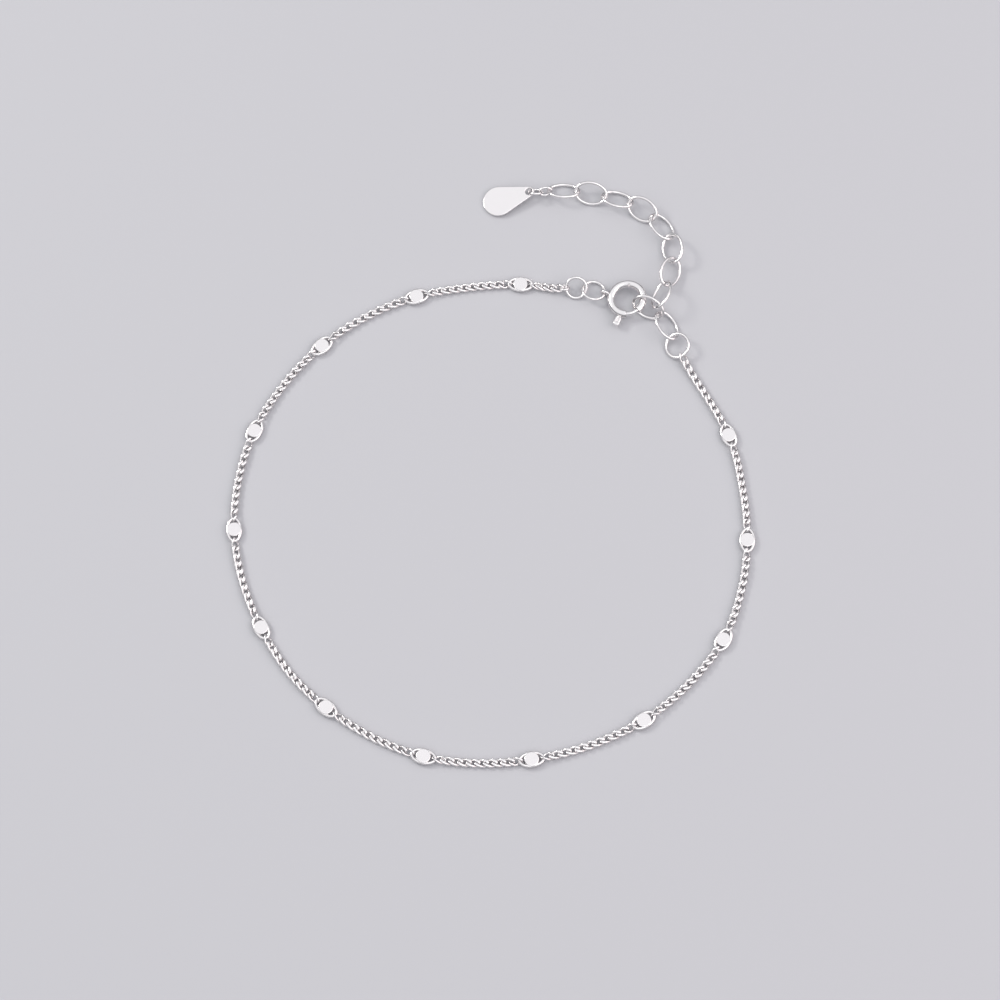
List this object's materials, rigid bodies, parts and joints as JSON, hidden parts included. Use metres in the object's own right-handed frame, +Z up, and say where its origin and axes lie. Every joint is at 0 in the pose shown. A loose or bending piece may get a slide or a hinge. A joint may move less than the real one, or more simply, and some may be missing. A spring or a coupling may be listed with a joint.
{
  "type": "chain anklet",
  "caption": "Fine silver curb-chain anklet with flat round disc stations, a spring-ring clasp and an extender of oval links ending in a teardrop tag.",
  "frame": {"origin": "middle of the underside of the anklet as it lies, on the surface that it rests on", "axes": "+Z up from the surface, +Y from the front of the loop towards the tag end, +X to the right as seen from the front"},
  "size_m": [0.0706, 0.0838, 0.0032],
  "materials": {
    "silver": "polished, rhodium-plated sterling silver"
  },
  "bodies": {
    "anklet": {"chain_ring": "silver", "extender_link_01": "silver", "extender_link_02": "silver", "extender_link_03": "silver", "extender_link_04": "silver", "extender_link_05": "silver", "extender_link_06": "silver", "extender_link_07": "silver", "extender_link_08": "silver", "extender_link_09": "silver", "extender_link_10": "silver", "tag_link": "silver", "tag_ring": "silver", "tag": "silver", "clasp_body": "silver", "clasp_ring": "silver", "jump_ring": "silver", "end_ring": "silver", "disc_link_01": "silver", "disc_link_02": "silver", "disc_link_03": "silver", "disc_link_04": "silver", "disc_link_05": "silver", "disc_link_06": "silver", "disc_link_07": "silver", "disc_link_08": "silver", "disc_link_09": "silver", "disc_link_10": "silver", "disc_link_11": "silver", "disc_link_12": "silver", "disc_link_13": "silver", "chain_run_01": "silver", "chain_run_02": "silver", "chain_run_03": "silver", "chain_run_04": "silver", "chain_run_05": "silver", "chain_run_06": "silver", "chain_run_07": "silver", "chain_run_08": "silver", "chain_run_09": "silver", "chain_run_10": "silver", "chain_run_11": "silver", "chain_run_12": "silver", "chain_run_13": "silver", "chain_run_14": "silver"},
    "gate": {"clasp_gate": "silver"}
  },
  "joints": [
    {"name": "gate_slide", "type": "hinge", "parent": "anklet", "child": "gate", "pos_m": [0.0186, 0.02421, 0.00112], "axis": [0.1392, 0, -0.9903], "range_deg": [0, 50], "stiffness_Nm_per_rad": 0.002, "springref_deg": -20.05}
  ]
}
